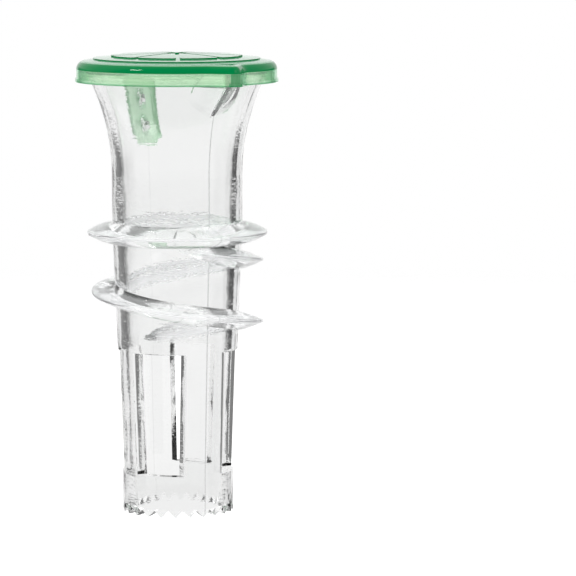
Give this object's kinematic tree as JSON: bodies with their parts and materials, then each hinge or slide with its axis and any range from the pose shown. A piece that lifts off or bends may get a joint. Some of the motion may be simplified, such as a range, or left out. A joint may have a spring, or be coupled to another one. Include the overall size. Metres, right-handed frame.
{
  "type": "citrus juicing spout",
  "caption": "Screw-in citrus juicing spout: clear flared tube with pouring beak, stop flange, coarse thread, juice windows and toothed end, under a flip cap with slice relief.",
  "frame": {"origin": "on the spout's axis in the plane of its tooth tips, at the middle of the bottom of the bounding box", "axes": "+Z along the spout's axis, from the teeth to the cap; the juice windows face within 7 degrees of +X, +Y, -X and -Y; the beak points 43 degrees from +X towards -Y and the hinge is opposite to it"},
  "size_m": [0.0372, 0.0372, 0.0842],
  "materials": {
    "clear_plastic": "clear, polished",
    "green_plastic": "translucent green, polished"
  },
  "bodies": {
    "spout": {"spout": "clear_plastic", "hinge_strap": "green_plastic"},
    "cap": {"flip_cap": "green_plastic"}
  },
  "joints": [
    {"name": "cap_flip", "type": "hinge", "parent": "spout", "child": "cap", "pos_m": [-0.01342, 0.01252, 0.07898], "axis": [-0.682, -0.7314, 0], "range_deg": [0, 135]}
  ]
}
